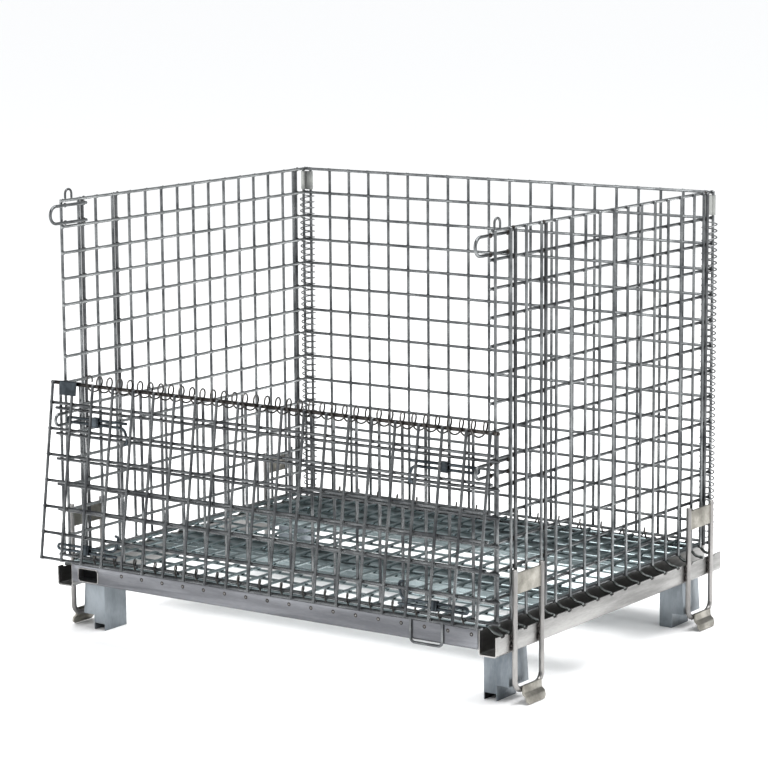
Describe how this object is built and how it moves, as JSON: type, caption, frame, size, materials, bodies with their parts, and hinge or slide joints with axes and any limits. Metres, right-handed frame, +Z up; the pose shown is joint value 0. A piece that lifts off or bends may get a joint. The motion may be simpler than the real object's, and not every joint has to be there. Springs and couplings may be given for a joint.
{
  "type": "wire mesh container",
  "caption": "Collapsible wire mesh pallet cage on a steel base with feet, stacking guide loops, a half drop gate folded down in front, slide bolts and spiral hinges.",
  "frame": {"origin": "floor level, under the middle of the whole outline", "axes": "+Z up, -Y towards the front with the drop gate, +X to the right seen from the front"},
  "size_m": [1.0634, 0.8734, 0.8681],
  "materials": {
    "zinc_wire": "zinc plated wire",
    "dark_wire": "dulled zinc rod",
    "rail_zinc": "zinc plated sheet",
    "foot_zinc": "zinc plated sheet, bluish",
    "deck_zinc": "zinc plated, blue-green grey",
    "loop_steel": "plated bar",
    "hook_steel": "plated plate",
    "slate_sheet": "dark sheet"
  },
  "bodies": {
    "base": {"rail_front": "rail_zinc", "rail_rear": "rail_zinc", "deck_mesh": "deck_zinc", "deck_channel_front": "deck_zinc", "deck_channel_middle": "deck_zinc", "deck_channel_rear": "deck_zinc", "pull_loop": "zinc_wire", "back_panel": "zinc_wire", "spiral_front_base": "dark_wire", "spiral_back_base": "dark_wire", "rail_left": "rail_zinc", "side_panel_left": "zinc_wire", "spiral_rear_left": "dark_wire", "clip_rear_left": "slate_sheet", "top_staple_left": "dark_wire", "keeper_upper_left": "zinc_wire", "keeper_lower_left": "zinc_wire", "stiffener_left_1": "dark_wire", "stiffener_left_2": "dark_wire", "stiffener_left_3": "dark_wire", "foot_front_left": "foot_zinc", "guide_loop_front_left": "loop_steel", "guide_plate_front_left": "hook_steel", "guide_hook_front_left": "hook_steel", "foot_rear_left": "foot_zinc", "guide_loop_rear_left": "loop_steel", "guide_plate_rear_left": "hook_steel", "guide_hook_rear_left": "hook_steel", "rail_right": "rail_zinc", "side_panel_right": "zinc_wire", "spiral_rear_right": "dark_wire", "clip_rear_right": "slate_sheet", "top_staple_right": "dark_wire", "keeper_upper_right": "zinc_wire", "keeper_lower_right": "zinc_wire", "stiffener_right_1": "dark_wire", "stiffener_right_2": "dark_wire", "stiffener_right_3": "dark_wire", "foot_front_right": "foot_zinc", "guide_loop_front_right": "loop_steel", "guide_plate_front_right": "hook_steel", "guide_hook_front_right": "hook_steel", "foot_rear_right": "foot_zinc", "guide_loop_rear_right": "loop_steel", "guide_plate_rear_right": "hook_steel", "guide_hook_rear_right": "hook_steel"},
    "lower_front": {"lower_front_panel": "zinc_wire", "spiral_gate": "dark_wire", "bolt_sleeve_lower_left": "slate_sheet", "bolt_sleeve_lower_right": "slate_sheet"},
    "gate": {"drop_gate": "zinc_wire", "clip_gate": "slate_sheet", "bolt_sleeve_gate_left": "slate_sheet", "bolt_sleeve_gate_right": "slate_sheet"},
    "bolt_lower_left_body": {"bolt_lower_left": "dark_wire"},
    "bolt_lower_right_body": {"bolt_lower_right": "dark_wire"},
    "bolt_gate_left_body": {"bolt_gate_left": "dark_wire"},
    "bolt_gate_right_body": {"bolt_gate_right": "dark_wire"}
  },
  "joints": [
    {"name": "lower_front_hinge", "type": "hinge", "parent": "base", "child": "lower_front", "pos_m": [0, -0.37108, 0.156], "axis": [1, 0, 0], "range_deg": [0, 75]},
    {"name": "gate_hinge", "type": "hinge", "parent": "lower_front", "child": "gate", "pos_m": [0, -0.3759, 0.50115], "axis": [-1, 0, 0], "range_deg": [0, 172.2]},
    {"name": "bolt_lower_left_slide", "type": "slide", "parent": "lower_front", "child": "bolt_lower_left_body", "axis": [-1, 0, 0], "range_m": [0, 0.036]},
    {"name": "bolt_lower_right_slide", "type": "slide", "parent": "lower_front", "child": "bolt_lower_right_body", "axis": [1, 0, 0], "range_m": [0, 0.036]},
    {"name": "bolt_gate_left_slide", "type": "slide", "parent": "gate", "child": "bolt_gate_left_body", "axis": [-1, 0, 0], "range_m": [0, 0.036]},
    {"name": "bolt_gate_right_slide", "type": "slide", "parent": "gate", "child": "bolt_gate_right_body", "axis": [1, 0, 0], "range_m": [0, 0.036]}
  ]
}
